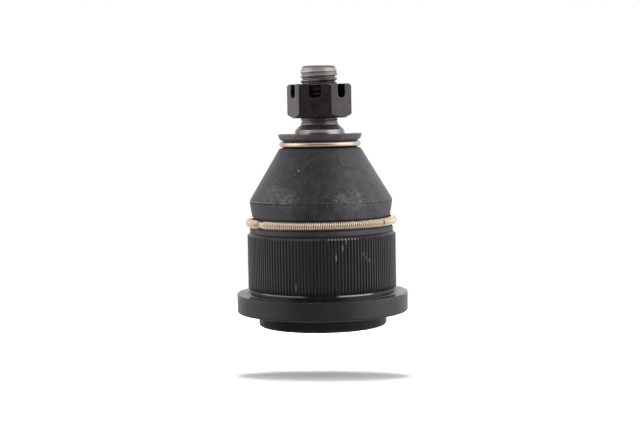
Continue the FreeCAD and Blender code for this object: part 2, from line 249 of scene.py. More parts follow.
def place_in_mm(tree, stretch=(1, 1, 1)):
    """Object coordinates in millimetres, with each axis multiplied by its stretch."""
    place = lay(tree, "TexCoord").outputs["Object"]
    scale = [1000.0 * share for share in stretch]
    return lay(tree, "VectorMath", {0: place, 1: scale}, operation="MULTIPLY").outputs[0]


def axes(tree):
    """The three Object coordinates in millimetres."""
    return lay(tree, "SeparateXYZ", {0: place_in_mm(tree)}).outputs


def from_axis(tree):
    """The distance from the Z axis in millimetres."""
    x, y, z = axes(tree)
    level = lay(tree, "CombineXYZ", {0: x, 1: y}).outputs[0]
    return lay(tree, "VectorMath", {0: level}, operation="LENGTH").outputs["Value"]


def edge_mask(tree):
    """The mesh's own mask of its edges, or of its crests."""
    return lay(tree, "Attribute", attribute_name="edge").outputs["Fac"]


def group(name, inputs, outputs):
    """An empty shader node group with these number inputs and mask outputs, and its two ends."""
    tree = bpy.data.node_groups.new(name, "ShaderNodeTree")
    for label, value in inputs.items():
        socket = tree.interface.new_socket(label, in_out="INPUT", socket_type="NodeSocketFloat")
        socket.default_value = value
    for label in outputs:
        tree.interface.new_socket(label, in_out="OUTPUT", socket_type="NodeSocketFloat")
    return tree, tree.nodes.new("NodeGroupInput").outputs, tree.nodes.new("NodeGroupOutput").inputs


def use(tree, kind, **values):
    """Places a node group with its own values, and gives its outputs."""
    node = tree.nodes.new("ShaderNodeGroup")
    node.node_tree = kind
    for label, value in values.items():
        node.inputs[label].default_value = value
    return node.outputs


# Fine rings left by turning: noise over (radius, height), so that it is even round the axis
turning_marks, given, result = group("turning_marks", {"Fineness": 6.0}, ["Height"])
across = lay(turning_marks, "CombineXYZ", {0: from_axis(turning_marks), 1: axes(turning_marks)[2]}).outputs[0]
turning_marks.links.new(noise(turning_marks, across, given["Fineness"], 4.0, 0.7), result["Height"])

# Bare or rubbed edges: the mesh's edge mask, broken up by noise
edge_wear, given, result = group("edge_wear", {"Amount": 0.5, "Grain": 1.5}, ["Mask"])
broken = noise(edge_wear, place_in_mm(edge_wear), given["Grain"], 5.0, 0.65)
standing = times(edge_wear, edge_mask(edge_wear), ramp(edge_wear, broken, 0.35, 0.72))
worn_off = times(edge_wear, ramp(edge_wear, standing, 0.25, 0.8), given["Amount"])
edge_wear.links.new(worn_off, result["Mask"])

# Scratches and rubs: thin bands of a stretched noise, kept to patches of a coarse one
scuffs, given, result = group("scuffs", {"Size": 0.12, "Amount": 0.5}, ["Mask"])
fine = noise(scuffs, place_in_mm(scuffs, (1.0, 1.0, 0.45)), 1.6, 6.0, 0.75)
thin = ramp(scuffs, off(scuffs, fine, 0.5), 0.0, 0.05, 1.0, 0.0)
patch = ramp(scuffs, noise(scuffs, place_in_mm(scuffs), given["Size"], 3.0), 0.5, 0.68)
scuffs.links.new(times(scuffs, thin, patch, given["Amount"]), result["Mask"])


def material(name):
    made = bpy.data.materials.new(name)
    made.use_nodes = True
    made.node_tree.nodes.clear()
    return made, made.node_tree


def surface(tree, colour, roughness, height, depth, metallic=0.0, **plain):
    """Ends a material: a Principled BSDF, with a bump of this depth in millimetres."""
    bump = lay(tree, "Bump", {"Height": height, "Distance": depth * mm, "Strength": 1.0}).outputs[0]
    sockets = {"Base Color": colour, "Roughness": roughness, "Metallic": metallic, "Normal": bump, **plain}
    shader = lay(tree, "BsdfPrincipled", sockets)
    lay(tree, "OutputMaterial", {"Surface": shader.outputs[0]})


def near(tree, centres, size, stretch=(1, 1, 1)):
    """A mask of soft spots, 1 at each centre and 0 at the size from it. A stretch below 1 makes the spots
    longer along its axis."""
    place = place_in_mm(tree, stretch)
    found = 0.0
    for centre in centres:
        middle = [along * share for along, share in zip(centre, stretch)]
        away = lay(tree, "VectorMath", {0: place, 1: middle}, operation="DISTANCE").outputs["Value"]
        found = most(tree, found, ramp(tree, away, size * 0.3, size, 1.0, 0.0))
    return found


# Black coat: dark and even, satin on the turned faces, with painted shade on the left of the rim
black_coat, tree = material("black_coat")
x, y, z = axes(tree)
mottle = noise(tree, place_in_mm(tree), 0.35, 4.0)
colour = mixed(tree, mottle, (0.0132, 0.0116, 0.0144, 1), (0.0178, 0.0157, 0.019, 1))
above_undercut = ramp(tree, z, teeth_bottom - 0.1, teeth_bottom + 0.1)
on_teeth = times(tree, above_undercut, ramp(tree, z, body_top + 0.2, body_top + 0.1))
rub = use(tree, edge_wear, Amount=0.45, Grain=1.1)["Mask"]
rub = times(tree, rub, ramp(tree, on_teeth, 0.0, 1.0, 1.0, 0.15))
colour = mixed(tree, rub, colour, (0.07, 0.062, 0.056, 1))
# Painted shade: the rim below the flange darker on the left
shaded_left_rim = times(tree, ramp(tree, x, -5.0, -13.0), ramp(tree, z, 4.6, 4.3))
colour = mixed(tree, shaded_left_rim, colour, (0.005, 0.0045, 0.0055, 1))
marks = use(tree, scuffs, Size=0.1, Amount=0.35)["Mask"]
colour = mixed(tree, marks, colour, (0.04, 0.039, 0.041, 1))

# Nicks on a few tooth tips, long ones in front and three short ones in a row to the right
long_nicks = [(6.5, -22.8, 26.6), (4.4, -23.3, 23.7), (7.6, -22.6, 28.6), (-8.0, -22.3, 14.5)]
short_nicks = [(12.6, -20.2, 24.5), (13.5, -19.6, 23.3), (14.4, -18.9, 22.3)]
nicks = near(tree, long_nicks, 0.52, stretch=(1.6, 0.5, 0.35))
nicks = most(tree, nicks, near(tree, short_nicks, 0.62, stretch=(1.5, 0.4, 0.7)))
nicks = times(tree, nicks, ramp(tree, edge_mask(tree), 0.3, 0.75))
colour = mixed(tree, nicks, colour, (0.24, 0.23, 0.23, 1))

# Along the front of the chamfer's foot: a brownish line on the left, and on the right bright dots on the
# tooth ends that are painted glints
chamfer_foot = times(tree, band(tree, z, body_top - 0.85, 0.3), ramp(tree, y, -15.0, -16.0))
brownish = times(tree, chamfer_foot, band(tree, x, -8.5, 9.5), 0.5)
colour = mixed(tree, brownish, colour, (0.09, 0.077, 0.064, 1))
painted_tooth_glints = times(tree, chamfer_foot, ramp(tree, edge_mask(tree), 0.55, 0.9), band(tree, x, 6.6, 5.8), 0.62)
colour = mixed(tree, painted_tooth_glints, colour, (0.42, 0.38, 0.38, 1))

# A painted glint: a bright line on the undercut's wall, in two stretches, standing for a lamp's reflection
painted_undercut_glint = most(tree, band(tree, x, 10.2, 6.4), times(tree, band(tree, x, -12.0, 8.0), 0.42))
painted_undercut_glint = times(tree, painted_undercut_glint, band(tree, z, 11.72, 0.26), ramp(tree, y, -12.0, -14.0))
colour = mixed(tree, painted_undercut_glint, colour, (0.66, 0.63, 0.7, 1))

# Smoother under the teeth, and duller on the rim, at the flange's edges and to the left below the teeth
roughness = ramp(tree, mottle, 0.25, 0.75, 0.32, 0.44)
roughness = plus(tree, roughness, times(tree, band(tree, z, 10.6, 0.7), -0.15))
upper_edge = times(tree, band(tree, z, flange_top, 0.12), 0.2)
lower_edge = times(tree, band(tree, z, flange_bottom + 0.25, 0.4), 0.3)
shine = ramp(tree, z, flange_bottom - 0.2, flange_bottom + 0.1, 0.1, 0.5)
shine = reckon(tree, "SUBTRACT", shine, plus(tree, upper_edge, lower_edge))
shine = times(tree, shine, most(tree, ramp(tree, x, -24.0, -4.0, 0.5, 1.0), ramp(tree, z, flange_top, 12.0)))
rings = use(tree, turning_marks, Fineness=7.0)["Height"]
grain = noise(tree, place_in_mm(tree), 9.0, 2.0)
relief = plus(tree, times(tree, rings, 0.6), times(tree, grain, 0.4))
surface(tree, colour, roughness, relief, 0.012, **{"Specular IOR Level": shine})
housing.data.materials.append(black_coat)

# Upper bearing. A moulded ring of hard, slippery plastic in the domed seat over the ball. It goes in
# first, and takes the pull on the stud.
bearing_plastic, tree = material("bearing_plastic")
flow = noise(tree, place_in_mm(tree), 0.5, 4.0)
colour = mixed(tree, flow, (0.58, 0.56, 0.5, 1), (0.7, 0.68, 0.62, 1))
surface(tree, colour, ramp(tree, flow, 0.3, 0.7, 0.32, 0.42), noise(tree, place_in_mm(tree), 5.0), 0.01)
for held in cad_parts["upper_bearing"].material_slots:
    held.material = bearing_plastic

# Ball stud. One forging of steel: a ground ball, a neck, a ground taper that shows as a bright band
# above the boot, a dark forged flare, and an M12 thread rolled on the end, with a cross hole for a
# locking pin. It comes in from below and swings in the bearings.
ball_centre = 19.499
neck_fillet_out = 8.2
neck_fillet_up = 12.21
thread_pitch = 1.5
thread_radius = 5.95
thread_depth = 0.74
thread_bottom = 66.3
thread_start = 65.5
left_crest = 79.44
stud_top = 82.9
stud_columns = 180
nut_turn = -97.9
slot_centre = 74.7


def arc(centre, radius, first, last, count):
    """Points on a circle of the outline plane, from one angle to another in degrees."""
    angle = np.radians(np.linspace(first, last, count))[:, None]
    return np.array(centre) + radius * np.concatenate([np.cos(angle), np.sin(angle)], 1)


def threaded(radius, height, angle):
    """The radius with the thread cut in: the height less its rise round the axis, as a share of the
    pitch, falls from a narrow crest down straight 30 degree flanks to a rounded root. A crest passes
    the left side at the height of left_crest."""
    share = np.mod((height - left_crest) / thread_pitch - (angle - np.pi) / (2 * np.pi) + 0.5, 1.0)
    away = np.abs(share - 0.5) * 2
    fall = np.clip((away - 0.1) / 0.74, 0, 1)
    fall = fall - 0.07 * np.sin(np.pi * np.clip((fall - 0.7) / 0.3, 0, 1))
    starts = np.clip((height - (thread_bottom - 0.9)) / 1.3, 0, 1)
    ends = np.clip((stud_top - 1.1 - height) / 2.2, 0, 1)
    cut = thread_radius - thread_depth * fall * starts * ends
    return np.minimum(radius, cut), 1 - fall


neck_side = np.degrees(np.arctan2(neck_fillet_up, neck_fillet_out))
stud_lower = np.concatenate([
    [(0.0, 7.17), (5.3, 7.17)],
    arc((0, ball_centre), 13.5, -65.7, neck_side, 48),
    arc((neck_fillet_out, ball_centre + neck_fillet_up), 1.2, 180 + neck_side, 180, 8)[1:],
])
stud_middle, middle_worn = outline([
    (7.0, 33.0, 0), (7.0, 40.3, 0.6), (9.12, 43.8, 0.3), (8.0, 61.7, 0.1), (7.76, 62.6, 0.12),
    (7.45, 62.85, 0.06), (5.95, 64.2, 0.25), (5.95, 64.95, 0.06), (5.6, 65.05, 0.06),
    (5.6, thread_start - 0.05, 0),
], closed=False)
thread_heights = np.arange(thread_start, stud_top - 0.02, 0.0625)
end_depths = [0.05, 0.3, 0.65, 1.3, 1.9, 2.2]
end_radii = [4.7, 5.15, 5.38, 5.6, 5.8, thread_radius]
tapered_end = np.interp(stud_top - thread_heights, end_depths, end_radii)
thread_line = np.stack([tapered_end, thread_heights], 1)
end_face = [(4.3, stud_top - 0.01), (4.2, stud_top), (3.0, stud_top), (1.4, stud_top), (0.0, stud_top)]
stud_line = np.concatenate([stud_lower, stud_middle, thread_line, end_face])
stud_grid = turned(stud_line, stud_columns)
angle = np.arange(stud_columns) * (2 * np.pi / stud_columns)
radius, crest = threaded(stud_line[:, :1], stud_line[:, 1:], angle)
on_thread = (stud_line[:, 1:] > thread_start - 0.04) & (stud_line[:, 1:] < stud_top - 0.03)
radius = np.where(on_thread, radius, stud_line[:, :1])
stud_grid[..., 0] = radius * np.cos(angle)
stud_grid[..., 1] = radius * np.sin(angle)
stud_worn = np.zeros(stud_grid.shape[:2])
stud_worn[len(stud_lower):len(stud_lower) + len(stud_middle)] = middle_worn[:, None]
stud_worn = np.where(on_thread, crest, stud_worn)


def cross_holed(grid, hole_radius=1.6):
    """The grid with a cross hole in line with two slots of the nut: points within the hole's radius of
    its axis move along the axis to near the middle of the stud, and those in a narrow band round it
    only part of the way."""
    turn = math.radians(nut_turn + 60)
    along = np.array([math.cos(turn), math.sin(turn), 0.0])
    aside = np.array([-along[1], along[0], 0.0])
    deep, beside = grid @ along, grid @ aside
    share = np.clip((hole_radius + 0.06 - np.hypot(beside, grid[..., 2] - slot_centre)) / 0.1, 0, 1)
    share = np.where(np.abs(deep) < 0.5, 0, share)
    moved = np.sign(deep) * 0.4 - deep
    return grid + (share * moved)[..., None] * along


ball_stud = piece(
    "ball_stud_steel", "stud", "stud_steel", (cross_holed(stud_grid), stud_worn, False),
    stands_for="ball_stud",
)

# Stud steel. The taper is ground bright, with streaks, and has painted shade at its left and right sides. The
# flare is dark.
stud_steel, tree = material("stud_steel")
x, y, height = axes(tree)
mottle = noise(tree, place_in_mm(tree), 0.8, 4.0)
rings = use(tree, turning_marks, Fineness=9.0)["Height"]
streaks = noise(tree, place_in_mm(tree, (1.0, 1.0, 0.1)), 1.8, 3.0, 0.7)
ground = mixed(tree, rings, (0.3, 0.285, 0.29, 1), (0.46, 0.44, 0.45, 1))
ground = mixed(tree, ramp(tree, streaks, 0.4, 0.62, 0.0, 0.25), ground, (0.22, 0.2, 0.205, 1))
# Painted shade: darker towards the left and the right of the taper
ground = mixed(tree, ramp(tree, x, -3.0, -6.5, 0.0, 0.85), ground, (0.1, 0.085, 0.077, 1))
ground = mixed(tree, ramp(tree, x, 4.5, 7.5, 0.0, 0.75), ground, (0.16, 0.147, 0.15, 1))
dark = mixed(tree, mottle, (0.14, 0.13, 0.13, 1), (0.23, 0.215, 0.215, 1))
rub = use(tree, edge_wear, Amount=0.9, Grain=1.6)["Mask"]
dark = mixed(tree, rub, dark, (0.3, 0.29, 0.29, 1))

# The thread: brownish roots, pale crests, oil on the right above the nut, and painted shade on the thread
# inside the nut
root = mixed(tree, mottle, (0.19, 0.16, 0.155, 1), (0.28, 0.24, 0.235, 1))
thread_tone = mixed(tree, ramp(tree, edge_mask(tree), 0.4, 0.95), root, (0.41, 0.375, 0.365, 1))
thread_tone = mixed(tree, ramp(tree, height, 79.6, 81.6, 0.0, 0.45), thread_tone, (0.52, 0.48, 0.475, 1))
on_end = ramp(tree, height, 82.0, 82.6)
thread_tone = mixed(tree, on_end, thread_tone, (0.12, 0.11, 0.11, 1))
thread_tone = mixed(tree, ramp(tree, mottle, 0.5, 0.8, 0.0, 0.4), thread_tone, (0.3, 0.25, 0.24, 1))
oily_low = times(tree, ramp(tree, x, -1.5, 1.5), ramp(tree, height, 79.0, 78.2, 0.0, 0.8))
oily_side = times(tree, ramp(tree, x, 5.0, 5.6), ramp(tree, height, 81.6, 81.0, 0.0, 0.75))
thread_tone = mixed(tree, most(tree, oily_low, oily_side), thread_tone, (0.06, 0.055, 0.056, 1))
# Painted shade inside the nut
shade_in_nut = ramp(tree, height, 76.6, 77.6, 0.75, 0.0)
thread_tone = mixed(tree, shade_in_nut, thread_tone, (0.024, 0.018, 0.015, 1))

# Each finish from its own height up
forged = ramp(tree, height, 62.72, 62.86)
colour = mixed(tree, ramp(tree, height, 65.9, 66.3), mixed(tree, forged, ground, dark), thread_tone)
roughness = plus(
    tree, ramp(tree, forged, 0.0, 1.0, 0.22, 0.42), ramp(tree, mottle, 0.2, 0.8, -0.04, 0.08),
    times(tree, on_end, 0.35),
)
surface(tree, colour, roughness, rings, 0.012, metallic=0.9)
ball_stud.data.materials.append(stud_steel)

# Lower bearing. The cup under the ball, of the same plastic as the ring above it, pushed up by the
# disc spring.
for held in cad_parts["lower_bearing"].material_slots:
    held.material = bearing_plastic

# Disc spring. A shallow cone stamped from spring steel, tempered straw to blue, lying on the end plate.
spring_steel, tree = material("spring_steel")
mottle = noise(tree, place_in_mm(tree), 0.4, 3.0)
rings = use(tree, turning_marks, Fineness=4.0)["Height"]
colour = mixed(tree, mottle, (0.2, 0.16, 0.12, 1), (0.16, 0.17, 0.21, 1))
surface(tree, colour, ramp(tree, mottle, 0.2, 0.8, 0.28, 0.42), rings, 0.01, metallic=0.95)
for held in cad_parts["preload_spring"].material_slots:
    held.material = spring_steel

# End plate. Pressed steel with a shallow dish, dropped in last from below and held by the rolled rim.
plate_points, plate_worn = outline([
    (0.0, 1.8, 0), (9.0, 1.8, 0.5), (9.9, 1.35, 0.4), (17.95, 1.35, 0.2), (17.95, 3.15, 0.3),
    (9.9, 3.15, 0.4), (9.0, 3.6, 0.4), (0.0, 3.6, 0),
], closed=False)
end_plate = piece(
    "end_plate", "housing", "cover_steel", (turned(plate_points, 160), plate_worn[:, None], False),
    stands_for="cover_plate",
)
plate_steel, tree = material("plate_steel")
mottle = noise(tree, place_in_mm(tree), 0.3, 5.0, 0.6)
rub = use(tree, edge_wear, Amount=0.8, Grain=1.2)["Mask"]
marks = use(tree, scuffs, Size=0.14, Amount=0.8)["Mask"]
rings = use(tree, turning_marks, Fineness=3.0)["Height"]
colour = mixed(tree, mottle, (0.014, 0.0135, 0.014, 1), (0.026, 0.025, 0.025, 1))
colour = mixed(tree, rub, colour, (0.12, 0.11, 0.1, 1))
colour = mixed(tree, marks, colour, (0.09, 0.088, 0.088, 1))
surface(tree, colour, ramp(tree, mottle, 0.25, 0.75, 0.34, 0.5), rings, 0.012)
end_plate.data.materials.append(plate_steel)

# Dust boot. Moulded black rubber with a dusty bloom. Its foot grips the collar of the housing under
# the garter spring, its cone keeps the grease in, and its flared lip seals on the stud's taper. The
# mould's parting line runs round its widest part.
boot_widest = 40.25


def moulded(points, worn, columns=288):
    """The turned outline with the unevenness of a moulding: the wall moves in and out by slow waves
    round and up it, and at the parting line a thin flash stands out that comes and goes round the boot."""
    grid = turned(points, columns)
    angle = np.arange(columns) * (2 * np.pi / columns)
    radius, height = points[:, :1], points[:, 1:]
    wave = np.sin(3 * angle + height * 0.22) + 0.7 * np.sin(7 * angle - height * 0.4 + 1.1)
    wave = wave + 0.5 * np.sin(13 * angle + height * 0.9 + 2.0)
    free = np.clip((height - 36.5) / 3, 0, 1) * np.clip((55.5 - height) / 3, 0, 1)
    lip = np.clip((height - 59.6) / 1.2, 0, 1)
    lip_wave = np.sin(5 * angle + 0.6) + 0.8 * np.sin(11 * angle + 2.2) + 0.5 * np.sin(23 * angle)
    shift = 0.03 * wave * free + 0.045 * lip_wave * lip
    along = 0.35 + 0.65 * np.clip(np.sin(2 * angle - 0.4) + 0.5 * np.sin(9 * angle), 0, 1)
    flash = 0.1 * along * np.exp(-(((height - boot_widest) / 0.1) ** 2)) * (radius > 22.1)
    groove = 0.14 * np.exp(-(((height - boot_widest + 0.3) / 0.1) ** 2)) * (radius > 22.1)
    shift = shift + flash - groove * (0.4 + 0.6 * along)
    grid[..., 0] += shift * np.cos(angle)
    grid[..., 1] += shift * np.sin(angle)
    grid[..., 2] += 0.05 * lip_wave * lip
    return grid, np.maximum(worn[:, None], flash / 0.1), True


boot_corners = [
    (19.9, 30.15, 0.1), (22.9, 30.15, 0.3), (22.9, 31.6, 0.25), (21.4, 32.7, 0.45), (21.4, 34.8, 0.2),
    (22.1, 35.1, 0.12), (22.2, 36.0, 0.5),
]
shoulder = arc((20.40, 39.70), 2.4, -6.0, 31.0, 34)
boot_foot, foot_worn = outline([(18.0, 31.0, 0.0)] + boot_corners + [(22.62, 37.8, 0.0)], closed=False)
boot_upper, upper_worn = outline([
    (22.1, 41.53, 0.0), (12.98, 56.73, 0.3), (12.1, 56.82, 0.15), (11.3, 57.62, 0.3), (11.3, 58.42, 0.3),
    (12.05, 59.17, 0.2), (12.98, 59.75, 0.4), (13.4, 61.27, 0.1), (12.9, 61.25, 0.12), (10.05, 60.5, 0.3),
    (8.45, 59.7, 0.2), (8.66, 56.2, 0.2), (11.2, 56.2, 0.3), (21.42, 39.17, 1.0), (20.6, 35.3, 0.2),
    (20.6, 33.7, 0.1), (19.9, 33.0, 0.1), (19.9, 31.0, 0.0),
], closed=False)
boot_points = np.concatenate([boot_foot[1:-1], shoulder, boot_upper[1:]])
boot_worn = np.concatenate([foot_worn[1:-1], 0 * shoulder[:, 0], upper_worn[1:]])
dust_boot = piece(
    "rubber_boot", None, "boot_rubber", moulded(boot_points, boot_worn), stands_for="dust_boot",
)
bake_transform(dust_boot)


def between(tree, first, second, share):
    """Two masks added, with this share of the second and the rest of the first."""
    return plus(tree, times(tree, first, 1 - share), times(tree, second, share))


# Boot rubber: carbon black in soft mottles, under a grey bloom, which is painted paler at the sides and on
# the right and thin down the front as painted side light
boot_rubber, tree = material("boot_rubber")
place = place_in_mm(tree)
x, y, height = axes(tree)
cloud = noise(tree, place, 0.38, 6.0, 0.7)
smear = noise(tree, place, 1.0, 5.0, 0.68)
streaks = noise(tree, place_in_mm(tree, (1.0, 1.0, 0.12)), 0.7, 4.0, 0.6)
tone = between(tree, cloud, streaks, 0.35)
colour = mixed(tree, ramp(tree, tone, 0.38, 0.62), (0.0125, 0.0118, 0.0132, 1), (0.031, 0.0295, 0.0325, 1))
# Painted side light: the bloom paler away from the front, more on the right
painted_side_light = times(tree, ramp(tree, off(tree, x, -2.0), 1.5, 14.0), ramp(tree, x, -12.0, 12.0, 0.5, 1.0))
behind = ramp(tree, y, 0.0, -5.0, 0.6, 0.0)
neck_and_foot = plus(tree, ramp(tree, height, 50.0, 55.5, 0.0, 0.2), ramp(tree, height, 38.0, 34.5, 0.0, 0.2))
bloom_and_side_light = plus(tree, most(tree, painted_side_light, behind), neck_and_foot)
bloom_and_side_light = times(tree, bloom_and_side_light, ramp(tree, between(tree, cloud, smear, 0.4), 0.34, 0.66, 0.5, 1.25))
colour = mixed(tree, bloom_and_side_light, colour, (0.079, 0.076, 0.082, 1))

# Grey rubs round the shoulder, faint pale streaks on the right, and a brown tint on the left
left_rubs = [(-13.5, -17.2, 42.3), (-16.2, -14.4, 43.4), (-10.5, -19.4, 41.6)]
right_rubs = [(6.5, -21.7, 40.9), (11.2, -19.6, 41.4)]
rubs = ramp(tree, between(tree, cloud, smear, 0.65), 0.44, 0.66, 0.1, 1.1)
rubs = times(tree, near(tree, left_rubs + right_rubs, 4.6), rubs, 0.55)
colour = mixed(tree, rubs, colour, (0.19, 0.185, 0.188, 1))
drawn_down = noise(tree, place_in_mm(tree, (1.0, 1.0, 0.16)), 1.3, 3.0, 0.6)
pale_streaks = times(
    tree, ramp(tree, drawn_down, 0.52, 0.7), ramp(tree, x, 1.0, 7.0, 0.0, 0.3),
    ramp(tree, height, 44.0, 47.0),
)
two_streaks = near(tree, [(6.9, -13.8, 52.6), (8.1, -15.3, 49.5)], 1.3, stretch=(1.0, 1.0, 0.25))
two_streaks = times(tree, two_streaks, ramp(tree, smear, 0.35, 0.65, 0.0, 0.4))
colour = mixed(tree, most(tree, pale_streaks, two_streaks), colour, (0.15, 0.145, 0.155, 1))
brown = near(tree, [(-17.5, -8.5, 46.0), (-19.0, -10.0, 42.5)], 6.0)
brown = times(tree, brown, ramp(tree, smear, 0.35, 0.65, 0.2, 0.7))
colour = mixed(tree, brown, colour, (0.062, 0.05, 0.045, 1))


def dust(tree, fineness, core, size, few, many):
    """Specks in some of the cells of a Voronoi pattern. Each fades out from its core to its size, and a
    cell shows one as its own random value goes from few to many."""
    cells = lay(tree, "TexVoronoi", {"Vector": place_in_mm(tree), "Scale": fineness}).outputs
    value = lay(tree, "SeparateColor", {0: cells["Color"]}).outputs[0]
    return times(tree, ramp(tree, cells["Distance"], size, core), ramp(tree, value, few, many))


# Specks of dust: one bright, some faint, a few all over and many on the left of the shoulder
faint_specks = [
    (-14.8, -7.3, 51.1), (-15.9, -7.6, 49.2), (-3.1, -16.2, 51.3), (-11.0, -19.0, 42.0), (-6.9, -20.8, 42.1),
    (-12.0, -17.9, 42.8), (-5.3, -22.3, 39.5), (-7.9, -15.9, 49.0), (-9.3, -14.4, 51.0),
]
specks = most(
    tree, near(tree, [(-6.8, -15.6, 50.2)], 0.45), times(tree, near(tree, faint_specks, 0.42), 0.4),
    times(tree, dust(tree, 0.5, 0.06, 0.14, 0.6, 0.75), 0.55),
    times(tree, dust(tree, 1.15, 0.1, 0.22, 0.5, 0.8), near(tree, left_rubs, 6.5), 0.5),
)
colour = mixed(tree, times(tree, specks, 0.75), colour, (0.27, 0.262, 0.265, 1))

# At the parting line, a painted highlight on its upper side, where it comes and goes, and a painted shadow
# under it on the left
painted_ridge_highlight = times(
    tree, band(tree, height, 40.3, 0.2), ramp(tree, reckon(tree, "ABSOLUTE", x), 9.5, 12.5, 0.22, 1.0),
    ramp(tree, smear, 0.44, 0.56, 0.1, 1.0), 0.6,
)
colour = mixed(tree, painted_ridge_highlight, colour, (0.24, 0.235, 0.235, 1))
painted_ridge_shadow = times(tree, ramp(tree, x, -8.0, -10.5, 0.3, 0.9), band(tree, height, 39.95, 0.2))
colour = mixed(tree, painted_ridge_shadow, colour, (0.006, 0.0055, 0.006, 1))

# Painted shade in the gap under the top ring, and a rubbed, dusty lip, painted paler towards its sides as
# side light
painted_shade_under_ring = times(tree, band(tree, height, 57.2, 0.7), 0.85)
colour = mixed(tree, painted_shade_under_ring, colour, (0.004, 0.0038, 0.004, 1))
on_lip = most(tree, ramp(tree, height, 60.75, 61.1), ramp(tree, height, 59.4, 60.2, 0.0, 0.6))
rubbed_and_side_lit_lip = times(
    tree, on_lip, ramp(tree, from_axis(tree), 11.8, 12.7, 0.3, 1.0), ramp(tree, smear, 0.38, 0.6, 0.25, 1.0),
    ramp(tree, off(tree, x, 1.0), 2.0, 11.0, 0.2, 1.0),
)
lip_tone = mixed(tree, ramp(tree, x, -3.0, -8.0), (0.13, 0.127, 0.135, 1), (0.23, 0.195, 0.175, 1))
colour = mixed(tree, rubbed_and_side_lit_lip, colour, lip_tone)
relief = plus(tree, times(tree, noise(tree, place, 3.2, 3.0, 0.7), 0.5), times(tree, cloud, 0.9))
soft = {"Specular IOR Level": 0.3, "Sheen Weight": 0.12, "Sheen Roughness": 0.4}
surface(tree, colour, ramp(tree, tone, 0.3, 0.7, 0.62, 0.78), relief, 0.05, **soft)
dust_boot.data.materials.append(boot_rubber)

# Top ring. A closed ring of bright zinc-plated wire, passivated gold, that grips the boot's neck.
ring_height = 58.05
ring_radius = 12.2


def hoop(radius, height, wire, columns=256, around=28):
    """A torus: a circle of the wire's radius carried round the axis, very slightly out of true."""
    angle = np.arange(columns) * (2 * np.pi / columns)
    turn = (np.arange(around) * (2 * np.pi / around))[:, None]
    out = radius + 0.02 * np.sin(2 * angle + 0.5) + wire * np.cos(turn)
    up = height + 0.03 * np.sin(angle + 1.2) + wire * np.sin(turn)
    return np.stack([out * np.cos(angle), out * np.sin(angle), up], -1), np.zeros((around, 1)), True


top_ring = piece(
    "gold_top_ring", "boot_top", "ring_gold_zinc", hoop(ring_radius, ring_height, 0.84),
    stands_for="boot_top_ring",
)
gold_zinc, tree = material("gold_zinc")
tint = noise(tree, place_in_mm(tree), 0.09, 2.0)
scratch = use(tree, scuffs, Size=0.3, Amount=0.7)["Mask"]
colour = mixed(tree, ramp(tree, tint, 0.35, 0.65), (0.74, 0.55, 0.46, 1), (0.75, 0.64, 0.49, 1))
# Darker and rosier towards both ends of the ring: a plating tint with painted shade
rosy_and_shaded_ends = ramp(tree, off(tree, axes(tree)[0], 1.0), 8.5, 12.5, 0.0, 0.85)
colour = mixed(tree, rosy_and_shaded_ends, colour, (0.5, 0.36, 0.3, 1))
colour = mixed(tree, scratch, colour, (0.45, 0.34, 0.27, 1))
grain = noise(tree, place_in_mm(tree), 3.0, 3.0)
surface(tree, colour, ramp(tree, grain, 0.3, 0.7, 0.26, 0.36), grain, 0.006, metallic=1.0)
top_ring.data.materials.append(gold_zinc)

# Garter spring. A long close-wound coil of plated spring wire, its thin end screwed into its other
# end to make a ring, stretched over the boot's foot. The joint shows at the front left as a narrow neck.
garter_height = 33.4
garter_radius = 22.75
garter_coils = 216
garter_joint = math.radians(-144.5)


def garter_coil(steps=14, around=6, wire=0.3, coil=1.05):
    """A tube along a helix that is itself bent round the axis. At ring angle a and coil angle
    t = coils a, the wire's middle is at radius R + c cos t and height c sin t, and the tube's own circle
    lies in the plane of the coil's outward direction and of the normal to both it and the wire's run.
    The coil radius c dips at the joint, and the ring leans a little to one side. The edge mask is the
    outward share of the tube's circle, so it falls to nothing in the gaps between the turns."""
    ring = np.arange(garter_coils * steps) * (2 * np.pi / (garter_coils * steps))
    turn = garter_coils * ring
    away = np.angle(np.exp(1j * (ring - garter_joint)))
    dip = np.exp(-((away / math.radians(3.2)) ** 4))
    bulge = np.exp(-(((away + math.radians(17.0)) / math.radians(12.0)) ** 4))
    size = coil * (1 - 0.3 * dip + 0.12 * bulge)

    def centre(ring, turn, size):
        out = garter_radius + size * np.cos(turn)
        up = garter_height + 0.007 * out * np.cos(ring) + size * np.sin(turn)
        return np.stack([out * np.cos(ring), out * np.sin(ring), up], -1)

    small = 1e-4
    middle = centre(ring, turn, size)
    run = centre(ring + small, turn + garter_coils * small, size) - middle
    run = run / np.linalg.norm(run, axis=-1, keepdims=True)
    outward = np.stack([np.cos(turn) * np.cos(ring), np.cos(turn) * np.sin(ring), np.sin(turn)], -1)
    aside = np.cross(run, outward)
    aside = aside / np.linalg.norm(aside, axis=-1, keepdims=True)
    outward = np.cross(aside, run)
    tube = (np.arange(around) * (2 * np.pi / around))[None, :, None]
    outermost = np.clip(np.cos(tube[..., 0]), 0, 1)
    grid = middle[:, None] + wire * (np.cos(tube) * outward[:, None] + np.sin(tube) * aside[:, None])
    return grid, outermost, True


garter = piece(
    "garter_spring_coil", "boot", "garter_yellow_zinc", garter_coil(), stands_for="boot_garter_spring",
)
yellow_zinc, tree = material("yellow_zinc")
tint = noise(tree, place_in_mm(tree), 0.08, 3.0)
fine = noise(tree, place_in_mm(tree), 2.2, 3.0)
colour = mixed(tree, ramp(tree, tint, 0.35, 0.65), (0.84, 0.66, 0.52, 1), (0.86, 0.73, 0.58, 1))
colour = mixed(tree, ramp(tree, fine, 0.6, 0.8, 0.0, 0.5), colour, (0.5, 0.38, 0.28, 1))
